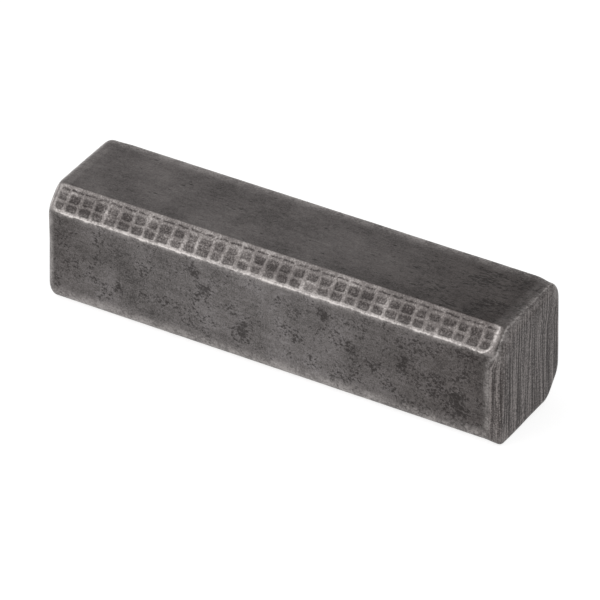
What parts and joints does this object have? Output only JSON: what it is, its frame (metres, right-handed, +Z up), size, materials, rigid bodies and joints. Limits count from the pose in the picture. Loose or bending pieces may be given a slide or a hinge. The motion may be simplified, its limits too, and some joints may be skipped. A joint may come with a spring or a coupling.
{
  "type": "parallel key",
  "caption": "Short square bar key of dark steel, with knurled chamfers along opposite long edges and rounded sheared ends.",
  "frame": {"origin": "on the bottom face, under the middle of the bar", "axes": "+X along the bar towards the right end, -Y out of the front face, +Z up out of the top face"},
  "size_m": [0.0276, 0.0064, 0.0063],
  "materials": {
    "oxidised_steel": "cold-drawn, tumbled and darkened by oxide, matte with bare metal showing on the knurl's ridges"
  },
  "bodies": {
    "root": {"key": "oxidised_steel"}
  },
  "joints": []
}
